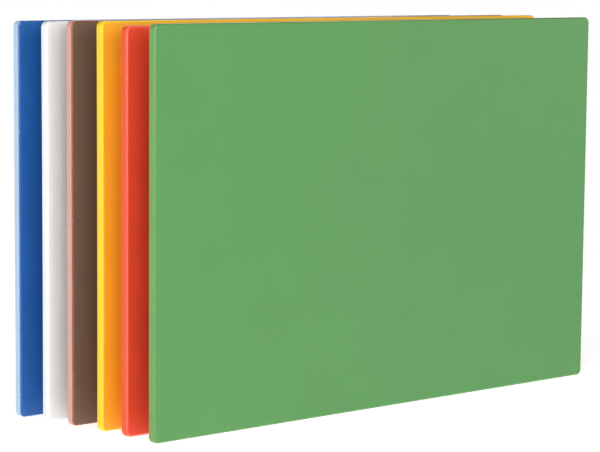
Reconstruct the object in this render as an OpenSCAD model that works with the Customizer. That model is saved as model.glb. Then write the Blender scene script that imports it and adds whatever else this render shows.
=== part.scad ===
// A row of six colour-coded cutting boards, each a plain slab of high-density
// polyethylene with rounded corners and eased edges. The boards stand on their
// long edges, one behind the other, and nothing joins them.
//
// Sizes are in millimetres. +X runs along the boards, +Y goes back through the
// row and +Z is up. The origin is on the floor, under the middle of the row.

/* [Boards] */
// Length of every board
board_length = 600; // [400:1:800]
// Nominal height of a board that stands on its long edge
board_height = 400; // [250:1:550]
// Thickness of every board
board_thickness = 10; // [8:0.5:25]
// Radius of a board's four corners, seen face on
corner_radius = 6; // [3:0.5:25]
// Radius of the easing round every edge
edge_radius = 2; // [0.5:0.1:2.5]

/* [Green board] */
// How much taller the green board is than the nominal height
green_extra = 1; // [-3:0.5:3]

/* [Red board] */
// Air between the red board and the green one in front of it
red_gap = 31; // [2:0.5:60]
// How far the red board's left end stands out past the green one's
red_step = 2.5; // [-20:0.5:20]
// How much taller the red board is than the nominal height
red_extra = -2; // [-3:0.5:3]

/* [Yellow board] */
// Air between the yellow board and the red one in front of it
yellow_gap = 25; // [2:0.5:60]
// How far the yellow board's left end stands out past the red one's
yellow_step = 4; // [-20:0.5:20]
// How much taller the yellow board is than the nominal height
yellow_extra = 1.5; // [-3:0.5:3]

/* [Brown board] */
// Air between the brown board and the yellow one in front of it
brown_gap = 30; // [2:0.5:60]
// How far the brown board's left end stands out past the yellow one's
brown_step = 7.5; // [-20:0.5:20]
// How much taller the brown board is than the nominal height
brown_extra = 1; // [-3:0.5:3]

/* [White board] */
// Air between the white board and the brown one in front of it
white_gap = 22.5; // [2:0.5:60]
// How far the white board's left end stands out past the brown one's
white_step = 7.5; // [-20:0.5:20]
// How much taller the white board is than the nominal height
white_extra = -0.5; // [-3:0.5:3]

/* [Blue board] */
// Air between the blue board and the white one in front of it
blue_gap = 25.5; // [2:0.5:60]
// How far the blue board's left end stands out past the white one's
blue_step = 9; // [-20:0.5:20]
// How much taller the blue board is than the nominal height
blue_extra = -0.5; // [-3:0.5:3]

/* [Hidden] */

$fn = 64;

// The row from front to back: gap in front, step to the left, extra height, colour.
row = [
    [0, 0, green_extra, "#69a564"],
    [red_gap, red_step, red_extra, "#e2452c"],
    [yellow_gap, yellow_step, yellow_extra, "#ffe028"],
    [brown_gap, brown_step, brown_extra, "#6e5245"],
    [white_gap, white_step, white_extra, "#f4f3f0"],
    [blue_gap, blue_step, blue_extra, "#245396"],
];
last = len(row) - 1;

// Front face and left end of board i, counted from those of the green board.
function front(i) = i == 0 ? 0 : front(i - 1) + board_thickness + row[i][0];
function left(i) = i == 0 ? 0 : left(i - 1) - row[i][1];
lefts = [for (i = [0 : last]) left(i)];

middle_x = (min(lefts) + max(lefts) + board_length) / 2;
middle_y = (front(last) + board_thickness) / 2;

// Section through a board's rim, from a corner's centre out to the edge.
module rim_section() {
    square([corner_radius - edge_radius, board_thickness]);
    translate([0, edge_radius])
        square([corner_radius, board_thickness - 2 * edge_radius]);
    for (level = [edge_radius, board_thickness - edge_radius])
        translate([corner_radius - edge_radius, level])
            circle(edge_radius);
}

// A board that lies flat, centred on the origin: a plain middle, and round it
// four straight rims and four turned corners.
module slab(height) {
    middle = [board_length - 2 * corner_radius, height - 2 * corner_radius];
    translate([-middle.x / 2, -middle.y / 2])
        cube([middle.x, middle.y, board_thickness]);
    for (side = [0 : 3])
        rotate(90 * side)
            translate([middle[side % 2] / 2, middle[(side + 1) % 2] / 2]) {
                rotate([90, 0, 0])
                    linear_extrude(middle[(side + 1) % 2])
                        rim_section();
                rotate_extrude(angle = 90)
                    rim_section();
            }
}

// Board i, stood on its long edge at its place in the row.
module board(i) {
    height = board_height + row[i][2];
    color(row[i][3])
        translate([left(i) + board_length / 2, front(i) + board_thickness, height / 2])
            translate([-middle_x, -middle_y])
                rotate([90, 0, 0])
                    slab(height);
}

module green_board() { board(0); }
module red_board() { board(1); }
module yellow_board() { board(2); }
module brown_board() { board(3); }
module white_board() { board(4); }
module blue_board() { board(5); }

green_board();
red_board();
yellow_board();
brown_board();
white_board();
blue_board();
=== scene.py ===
# A row of six colour-coded cutting boards, standing on their long edges.
import math

import bmesh
import bpy
from mathutils import Matrix, Vector


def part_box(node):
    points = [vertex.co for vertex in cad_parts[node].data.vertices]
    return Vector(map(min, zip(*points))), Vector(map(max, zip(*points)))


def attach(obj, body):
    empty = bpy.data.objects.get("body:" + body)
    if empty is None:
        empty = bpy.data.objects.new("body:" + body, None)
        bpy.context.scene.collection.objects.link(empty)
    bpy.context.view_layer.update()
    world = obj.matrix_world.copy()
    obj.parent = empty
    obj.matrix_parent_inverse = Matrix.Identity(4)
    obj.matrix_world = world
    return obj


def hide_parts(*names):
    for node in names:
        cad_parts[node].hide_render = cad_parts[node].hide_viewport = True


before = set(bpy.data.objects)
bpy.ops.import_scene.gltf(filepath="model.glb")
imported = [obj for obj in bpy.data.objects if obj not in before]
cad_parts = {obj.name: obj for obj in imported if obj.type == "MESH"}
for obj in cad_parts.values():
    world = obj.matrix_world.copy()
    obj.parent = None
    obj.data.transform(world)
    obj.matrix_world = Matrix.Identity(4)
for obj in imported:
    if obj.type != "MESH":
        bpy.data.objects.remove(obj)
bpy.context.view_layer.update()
print("stage 1: frame loaded,", len(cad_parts), "boards")


# Camera

cameraSetup = {
    "lens": 135.5,                     # mm
    "sensorWidth": 36.0,               # mm
    "clip": (0.05, 100.0),             # metres, nearest and furthest that it sees
    "at": (-1.5580, -1.7991, 0.4632),  # metres
    "turn": 40.51,                     # degrees to the right of straight ahead
    "down": 6.76,                      # degrees below level
    "roll": 0.50,                      # degrees, right side up
}


def makeCamera(setup):
    data = bpy.data.cameras.new("camera")
    data.lens = setup["lens"]
    data.sensor_width = setup["sensorWidth"]
    data.clip_start, data.clip_end = setup["clip"]
    made = bpy.data.objects.new("camera", data)
    bpy.context.collection.objects.link(made)
    turn = Matrix.Rotation(-math.radians(setup["turn"]), 4, "Z")
    tip = Matrix.Rotation(math.radians(90.0 - setup["down"]), 4, "X")
    roll = Matrix.Rotation(math.radians(setup["roll"]), 4, "Z")
    made.matrix_world = Matrix.Translation(setup["at"]) @ turn @ tip @ roll
    bpy.context.scene.camera = made


makeCamera(cameraSetup)


# Helpers for node trees

def addNode(tree, kind, inputs=None, **settings):
    made = tree.nodes.new(kind)
    for name, value in settings.items():
        setattr(made, name, value)
    for key, value in (inputs or {}).items():
        if isinstance(value, bpy.types.NodeSocket):
            tree.links.new(value, made.inputs[key])
        else:
            made.inputs[key].default_value = value
    return made


def calc(tree, operation, *values):
    inputs = dict(enumerate(values))
    return addNode(tree, "ShaderNodeMath", inputs, operation=operation).outputs[0]


def vecCalc(tree, operation, *values):
    inputs = dict(enumerate(values))
    return addNode(tree, "ShaderNodeVectorMath", inputs, operation=operation).outputs[0]


def vecScale(tree, vector, factor):
    inputs = {0: vector, "Scale": factor}
    return addNode(tree, "ShaderNodeVectorMath", inputs, operation="SCALE").outputs[0]


def combine(tree, x, y, z):
    return addNode(tree, "ShaderNodeCombineXYZ", {"X": x, "Y": y, "Z": z}).outputs[0]


def separate(tree, vector):
    return addNode(tree, "ShaderNodeSeparateXYZ", {0: vector}).outputs


# Boards. One rule makes all six: a fine cube grid, pushed out into a slab with
# rounded corners and eased edges.

boardShape = {
    "cornerRadius": 0.006,  # metres
    "edgeRadius": 0.002,
    "cornerCells": 10,      # grid cells across a corner's radius
    "edgeCells": 4,         # grid cells across the easing, seen from the rim
    "rimCells": 2,          # grid cells across the flat of the rim
    "lengthCells": 30,      # grid cells along the plain part of the length
    "heightCells": 20,      # grid cells up the plain part of the height
}


def boardTree(shape):
    tree = bpy.data.node_groups.new("roundedBoard", "GeometryNodeTree")
    sockets = {
        "Size": "Vector", "Centre": "Vector", "Corner Radius": "Float",
        "Edge Radius": "Float", "Bow": "Float", "Material": "Material",
    }
    for name, kind in sockets.items():
        tree.interface.new_socket(name, in_out="INPUT", socket_type="NodeSocket" + kind)
    tree.interface.new_socket("Geometry", in_out="OUTPUT", socket_type="NodeSocketGeometry")
    given = tree.nodes.new("NodeGroupInput").outputs
    corner, edge = given["Corner Radius"], given["Edge Radius"]

    plainCells = [shape["lengthCells"], shape["rimCells"], shape["heightCells"]]
    outerCells = [shape["cornerCells"], shape["edgeCells"], shape["cornerCells"]]
    cells = [plain + 2 * outer for plain, outer in zip(plainCells, outerCells)]
    cube = addNode(tree, "GeometryNodeMeshCube", {
        "Size": (2.0, 2.0, 2.0),  # from -1 to 1 each way
        "Vertices X": cells[0] + 1, "Vertices Y": cells[1] + 1, "Vertices Z": cells[2] + 1,
    })

    # outwards from the middle, the grid crosses the plain part and then the rounding
    plainShare = tuple(plain / total for plain, total in zip(plainCells, cells))
    outerShare = tuple(1.0 - share for share in plainShare)
    position = addNode(tree, "GeometryNodeInputPosition").outputs[0]
    away = vecCalc(tree, "ABSOLUTE", position)
    plain = vecCalc(tree, "MINIMUM", vecCalc(tree, "DIVIDE", away, plainShare), (1.0, 1.0, 1.0))
    beyond = vecCalc(tree, "MAXIMUM", vecCalc(tree, "SUBTRACT", away, plainShare), (0.0, 0.0, 0.0))
    outX, outY, outZ = separate(tree, vecCalc(tree, "DIVIDE", beyond, outerShare))
    core = vecCalc(tree, "SUBTRACT", vecScale(tree, given["Size"], 0.5),
                   combine(tree, corner, edge, corner))

    # the easing: a quarter circle from the face to the rim
    reach = calc(tree, "MULTIPLY", calc(tree, "MAXIMUM", outX, outZ), corner)
    flatReach = calc(tree, "SUBTRACT", corner, edge)
    overFlat = calc(tree, "MAXIMUM", calc(tree, "SUBTRACT", reach, flatReach), 0.0)
    toRim = calc(tree, "DIVIDE", overFlat, edge)
    slant = calc(tree, "SQRT", calc(tree, "ADD", calc(tree, "MULTIPLY", toRim, toRim),
                                    calc(tree, "MULTIPLY", outY, outY)))
    rimward = calc(tree, "DIVIDE", toRim, slant)
    faceward = calc(tree, "DIVIDE", outY, slant)
    spread = calc(tree, "ADD", calc(tree, "MINIMUM", reach, flatReach),
                  calc(tree, "MULTIPLY", rimward, edge))

    # the corner: the same reach, turned round the corner's centre
    around = vecCalc(tree, "NORMALIZE", combine(tree, outX, 0.0, outZ))
    rounding = vecCalc(tree, "ADD", vecScale(tree, around, spread),
                       combine(tree, 0.0, calc(tree, "MULTIPLY", faceward, edge), 0.0))
    outside = vecCalc(tree, "ADD", vecCalc(tree, "MULTIPLY", plain, core), rounding)
    placed = vecCalc(tree, "MULTIPLY", outside, vecCalc(tree, "SIGN", position))

    # the bow: nothing at the standing edge and the top, all of it half way up
    height = separate(tree, vecCalc(tree, "DIVIDE", placed, vecScale(tree, given["Size"], 0.5)))["Z"]
    bowShare = calc(tree, "SUBTRACT", 1.0, calc(tree, "MULTIPLY", height, height))
    bow = combine(tree, 0.0, calc(tree, "MULTIPLY", given["Bow"], bowShare), 0.0)
    final = vecCalc(tree, "ADD", vecCalc(tree, "ADD", placed, bow), given["Centre"])

    marked = addNode(tree, "GeometryNodeStoreNamedAttribute",
                     {"Geometry": cube.outputs["Mesh"], "Name": "rimward", "Value": rimward},
                     data_type="FLOAT", domain="POINT")
    moved = addNode(tree, "GeometryNodeSetPosition", {"Geometry": marked.outputs[0], "Position": final})
    smooth = addNode(tree, "GeometryNodeSetShadeSmooth", {"Geometry": moved.outputs[0]})
    real = addNode(tree, "GeometryNodeRealizeInstances", {"Geometry": smooth.outputs[0]})
    finished = addNode(tree, "GeometryNodeSetMaterial",
                       {"Geometry": real.outputs[0], "Material": given["Material"]})
    addNode(tree, "NodeGroupOutput", {0: finished.outputs[0]})
    return tree


# The tree's result as a plain mesh object
def meshFrom(tree, name, values):
    maker = bpy.data.objects.new(name + "Maker", bpy.data.meshes.new(name + "Maker"))
    bpy.context.collection.objects.link(maker)
    modifier = maker.modifiers.new(tree.name, "NODES")
    modifier.node_group = tree
    for socket in tree.interface.items_tree:
        if socket.name in values:
            modifier[socket.identifier] = values[socket.name]
    seen = bpy.context.evaluated_depsgraph_get()
    mesh = bpy.data.meshes.new_from_object(maker.evaluated_get(seen))
    maker.modifiers.remove(modifier)
    bpy.data.meshes.remove(maker.data)
    made = bpy.data.objects.new(name, mesh)
    bpy.context.collection.objects.link(made)
    return made


# Plastic

# lengths in metres; a span runs from where a finish starts to where it is full,
# from 0 on the face, over the easing, to 1 on the milled rim
plasticFinish = {
    # the easing's and rim's colours carry painted highlight, glare and shade as well as their own tone
    "edgeSpan": (0.0, 0.3),             # the easing's colour
    "rimSpan": (0.8, 1.0),              # the rim's colour and cutter marks
    "mottle": 0.018,                    # share by which the colour wanders each way
    "mottleSize": 0.07,
    "scuffs": 0.22,                     # how strong the rubbed specks on the easing are
    "scuffColour": (0.8, 0.8, 0.78),
    "scuffSize": 0.004,
    "scuffSpan": (0.3, 0.7),
    "scuffNoise": (0.58, 0.7),          # only the peaks of their noise show
    "roughness": 0.42,
    "roughnessDrift": 0.04,             # how far the sheen wanders each way
    "sheenSize": 0.025,
    "edgeRoughness": 0.24,              # the easing, rubbed smooth
    "edgeSheenSpan": (0.1, 0.4),
    "rimRoughness": 0.50,               # the milled flat of the rim
    "rimSheenSpan": (0.9, 1.0),
    "ior": 1.51,
    "softReach": 0.003,                 # how far light spreads inside the plastic
    "softColours": (1.0, 1.0, 1.0),     # red, green and blue light spread alike
    "grainSize": 0.0011,                # the face's fine moulded grain
    "grainDepth": 0.00002,
    "millStep": 0.0017,                 # from one cutter mark to the next along the rim
    "millDepth": 0.000008,
    "millWander": 4.0,                  # radians by which the marks stray from even steps
    "millWanderSize": 0.02,
}
noiseSpan = (0.3, 0.7)                  # holds nearly all the values of a noise


def noise(tree, place, size, seed, detail):
    return addNode(tree, "ShaderNodeTexNoise",
                   {"Vector": place, "W": seed, "Scale": 1.0 / size, "Detail": detail},
                   noise_dimensions="4D").outputs[0]


def remap(tree, value, span, results=(0.0, 1.0), ease="SMOOTHSTEP"):
    return addNode(tree, "ShaderNodeMapRange", {
        "Value": value, "From Min": span[0], "From Max": span[1],
        "To Min": results[0], "To Max": results[1],
    }, interpolation_type=ease).outputs[0]


# A Mix node has sockets 2 and 3 for numbers, and 6 and 7 for colours
def blend(tree, share, first, second):
    made = addNode(tree, "ShaderNodeMix", {0: share}, data_type="RGBA")
    for socket, value in zip((made.inputs[6], made.inputs[7]), (first, second)):
        if isinstance(value, bpy.types.NodeSocket):
            tree.links.new(value, socket)
        else:
            socket.default_value = (*value, 1.0)
    return made.outputs[2]


def mixValue(tree, share, first, second):
    inputs = {0: share, 2: first, 3: second}
    return addNode(tree, "ShaderNodeMix", inputs, data_type="FLOAT").outputs[0]


def boardPlastic(name, look, finish, seed):
    made = bpy.data.materials.new(name)
    made.use_nodes = True
    tree = made.node_tree
    shader = tree.nodes["Principled BSDF"]
    place = addNode(tree, "ShaderNodeTexCoord").outputs["Object"]
    rimward = addNode(tree, "ShaderNodeAttribute", attribute_name="rimward").outputs["Fac"]
    onRim = remap(tree, rimward, finish["rimSpan"])
    offFace = remap(tree, rimward, finish["edgeSpan"])

    # colour: face, easing and milled rim, a slow drift, and pale specks where edges rub
    # painted light: the easing and rim colours stand partly for the highlight, glare and shade the
    # lamps give them
    faceToLitEdge = blend(tree, offFace, look["colour"], look["edgeToneAndPaintedLight"])
    plain = blend(tree, onRim, faceToLitEdge, look["rimToneAndPaintedLight"])
    drift = remap(tree, noise(tree, place, finish["mottleSize"], seed, detail=3.0), noiseSpan,
                  (1.0 - finish["mottle"], 1.0 + finish["mottle"]))
    drifted = vecScale(tree, plain, drift)
    onEasing = calc(tree, "MULTIPLY", remap(tree, rimward, finish["scuffSpan"]),
                    remap(tree, rimward, finish["rimSpan"], (1.0, 0.0)))
    speck = remap(tree, noise(tree, place, finish["scuffSize"], seed, detail=4.0),
                  finish["scuffNoise"], (0.0, finish["scuffs"]))
    rubbed = blend(tree, calc(tree, "MULTIPLY", onEasing, speck), drifted, finish["scuffColour"])
    tree.links.new(rubbed, shader.inputs["Base Color"])

    # sheen: satin on the face, smoother on the easing, duller on the rim
    roughness, roughnessDrift = finish["roughness"], finish["roughnessDrift"]
    faceSheen = remap(tree, noise(tree, place, finish["sheenSize"], seed, detail=2.0), noiseSpan,
                      (roughness - roughnessDrift, roughness + roughnessDrift))
    easedSheen = mixValue(tree, remap(tree, rimward, finish["edgeSheenSpan"]),
                          faceSheen, finish["edgeRoughness"])
    sheen = mixValue(tree, remap(tree, rimward, finish["rimSheenSpan"]),
                     easedSheen, finish["rimRoughness"])
    tree.links.new(sheen, shader.inputs["Roughness"])
    shader.inputs["IOR"].default_value = finish["ior"]
    shader.inputs["Subsurface Weight"].default_value = look["soft"]
    shader.inputs["Subsurface Radius"].default_value = finish["softColours"]
    shader.inputs["Subsurface Scale"].default_value = finish["softReach"]

    # relief: moulded grain on the faces, cutter marks across the rim
    grain = calc(tree, "MULTIPLY", noise(tree, place, finish["grainSize"], seed, detail=2.0),
                 finish["grainDepth"])
    axes = separate(tree, place)
    wander = calc(tree, "MULTIPLY", noise(tree, place, finish["millWanderSize"], seed, detail=1.0),
                  finish["millWander"])
    along = calc(tree, "ADD", axes["X"], axes["Z"])
    turns = calc(tree, "MULTIPLY", along, 2.0 * math.pi / finish["millStep"])
    marks = calc(tree, "MULTIPLY", calc(tree, "SINE", calc(tree, "ADD", turns, wander)),
                 finish["millDepth"] / 2.0)
    onFace = calc(tree, "SUBTRACT", 1.0, onRim)
    height = calc(tree, "ADD", calc(tree, "MULTIPLY", grain, onFace),
                  calc(tree, "MULTIPLY", marks, onRim))
    relief = addNode(tree, "ShaderNodeBump", {"Height": height, "Strength": 1.0, "Distance": 1.0})
    tree.links.new(relief.outputs[0], shader.inputs["Normal"])
    return made


# each board: the colours of its face, easing and milled rim, how much light goes
# inside it, and how many metres its middle bows towards the back
# the easing and rim colours are partly painted highlight, glare and shade on top of each plastic's own
# tone
boardLooks = {
    "green": {
        "colour": (0.089, 0.279, 0.077),
        "edgeToneAndPaintedLight": (0.110, 0.300, 0.080),
        "rimToneAndPaintedLight": (0.150, 0.320, 0.085),
        "soft": 0.1,
        "bow": 0.0,
    },
    "red": {
        "colour": (0.90, 0.066, 0.025),
        # painted highlight: the coral easing stands for the lamps' highlight along it
        "edgeToneAndPaintedLight": (0.95, 0.140, 0.070),
        "rimToneAndPaintedLight": (0.78, 0.075, 0.012),
        "soft": 0.1,
        "bow": 0.0,
    },
    "yellow": {
        # painted reflection: the face is more orange than the easing and rim, standing partly for the
        # red board's light in the gap
        "colour": (0.94, 0.455, 0.022),
        "edgeToneAndPaintedLight": (0.93, 0.600, 0.012),
        "rimToneAndPaintedLight": (0.90, 0.610, 0.008),
        "soft": 0.3,
        "bow": -0.0005,
    },
    "brown": {
        "colour": (0.160, 0.098, 0.070),
        # painted light: the redder easing stands for the light it catches
        "edgeToneAndPaintedLight": (0.260, 0.085, 0.045),
        # painted glare: the pale pink rim stands for the lamps' glare on the end
        "rimToneAndPaintedLight": (0.620, 0.340, 0.280),
        "soft": 0.1,
        "bow": 0.0,
    },
    "white": {
        "colour": (0.91, 0.880, 0.862),
        "edgeToneAndPaintedLight": (0.86, 0.86, 0.86),
        "rimToneAndPaintedLight": (0.80, 0.81, 0.82),
        "soft": 0.5,
        "bow": -0.0005,
    },
    "blue": {
        "colour": (0.0105, 0.104, 0.368),
        "edgeToneAndPaintedLight": (0.020, 0.120, 0.400),
        # painted glare: the pale blue rim stands for the lamps' glare on the end
        "rimToneAndPaintedLight": (0.420, 0.550, 0.720),
        "soft": 0.1,
        "bow": 0.0,
    },
}
seedStep = 3.7                          # far enough for each board to have a mottle of its own


def makeBoard(colour, look, tree, shape, seed):
    node = colour + "_board"
    low, high = (Vector(corner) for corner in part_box(node))
    plastic = boardPlastic(colour + "Plastic", look, plasticFinish, seed)
    piece = meshFrom(tree, colour + "Board", {
        "Size": high - low, "Centre": (high + low) / 2,
        "Corner Radius": shape["cornerRadius"], "Edge Radius": shape["edgeRadius"],
        "Bow": look["bow"], "Material": plastic,
    })
    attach(piece, colour)
    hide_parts(node)


roundedBoard = boardTree(boardShape)
for index, (colour, look) in enumerate(boardLooks.items()):
    makeBoard(colour, look, roundedBoard, boardShape, seedStep * index)
print("stage 2: boards made")


# Studio

floorLook = {
    "radius": 1.9,                     # metres, where it has faded away
    "fadeFrom": 0.5,                   # metres, where it starts to fade
    "sides": 96,                       # of the polygon that stands for its circle
    "colour": (0.9, 0.9, 0.9),
    "roughness": 0.9,
    "glow": 0.58,                      # light from below, as on a lit table
}
airLook = {
    "seen": 1.0,                       # the plain white behind everything
    "below": 0.7,                      # light from below, as if the lit table went on
}

aimHeight = 0.2                        # metres, half way up the boards

# each softbox: degrees round the row, 0 in front and 90 at the left ends, then
# metres up and out, width and height, and how bright its face is
softboxes = {
    "front": {"round": 0.0, "up": 0.9, "out": 2.4, "size": (0.8, 1.4), "shine": 4.0},
    "frontLeft": {"round": 30.0, "up": 0.9, "out": 2.4, "size": (1.2, 1.4), "shine": 2.5},
    "key": {"round": 60.0, "up": 0.9, "out": 2.4, "size": (1.2, 1.4), "shine": 3.85},
    "frontRight": {"round": -60.0, "up": 0.9, "out": 2.4, "size": (1.2, 1.4), "shine": 2.0},
    "side": {"round": 104.0, "up": 0.6, "out": 2.2, "size": (0.5, 1.6), "shine": 2.6},
    "top": {"round": 55.0, "up": 2.0, "out": 1.2, "size": (1.4, 1.4), "shine": 2.2},
    "rim": {"round": 140.0, "up": 0.35, "out": 1.0, "size": (0.35, 0.8), "shine": 0.8},
    "backRight": {"round": -145.0, "up": 0.9, "out": 2.4, "size": (1.2, 1.4), "shine": 4.0},
}


def makeFloor(look):
    mesh = bpy.data.meshes.new("floor")
    shape = bmesh.new()
    bmesh.ops.create_circle(shape, cap_ends=True, segments=look["sides"], radius=look["radius"])
    shape.to_mesh(mesh)
    shape.free()
    paint = bpy.data.materials.new("floorPaint")
    paint.use_nodes = True
    tree = paint.node_tree
    shader = tree.nodes["Principled BSDF"]
    shader.inputs["Base Color"].default_value = (*look["colour"], 1.0)
    shader.inputs["Roughness"].default_value = look["roughness"]
    shader.inputs["Emission Color"].default_value = (1.0, 1.0, 1.0, 1.0)
    shader.inputs["Emission Strength"].default_value = look["glow"]
    place = addNode(tree, "ShaderNodeTexCoord").outputs["Object"]
    distance = addNode(tree, "ShaderNodeVectorMath", {0: place}, operation="LENGTH").outputs["Value"]
    fade = remap(tree, distance, (look["fadeFrom"], look["radius"]), (1.0, 0.0), ease="SMOOTHERSTEP")
    tree.links.new(fade, shader.inputs["Alpha"])
    mesh.materials.append(paint)
    made = bpy.data.objects.new("floor", mesh)
    bpy.context.collection.objects.link(made)


def makeSoftbox(name, light):
    angle = math.radians(light["round"])
    at = Vector((-math.sin(angle) * light["out"], -math.cos(angle) * light["out"], light["up"]))
    aim = Vector((0.0, 0.0, aimHeight)) - at
    data = bpy.data.lights.new(name, "AREA")
    data.shape = "RECTANGLE"
    width, height = light["size"]
    data.size, data.size_y = width, height
    data.energy = light["shine"] * math.pi * width * height
    made = bpy.data.objects.new(name, data)
    made.location = at
    made.rotation_euler = aim.to_track_quat("-Z", "Y").to_euler()
    made.visible_camera = False
    bpy.context.collection.objects.link(made)


# The camera sees plain white, and the boards are lit from below by the rest of the table
def makeAir(look):
    white = (1.0, 1.0, 1.0, 1.0)
    world = bpy.data.worlds.new("studioAir")
    bpy.context.scene.world = world
    world.use_nodes = True
    tree = world.node_tree
    tree.nodes.clear()
    direction = addNode(tree, "ShaderNodeTexCoord").outputs["Generated"]
    isBelow = calc(tree, "LESS_THAN", separate(tree, direction)["Z"], 0.0)
    glow = calc(tree, "MULTIPLY", isBelow, look["below"])
    lit = addNode(tree, "ShaderNodeBackground", {"Color": white, "Strength": glow})
    seen = addNode(tree, "ShaderNodeBackground", {"Color": white, "Strength": look["seen"]})
    rays = addNode(tree, "ShaderNodeLightPath")
    mixed = addNode(tree, "ShaderNodeMixShader", {
        0: rays.outputs["Is Camera Ray"], 1: lit.outputs[0], 2: seen.outputs[0],
    })
    addNode(tree, "ShaderNodeOutputWorld", {"Surface": mixed.outputs[0]})


makeFloor(floorLook)
makeAir(airLook)
for name, light in softboxes.items():
    makeSoftbox(name, light)
bpy.context.scene.view_settings.view_transform = "Standard"
print("stage 3: studio set")
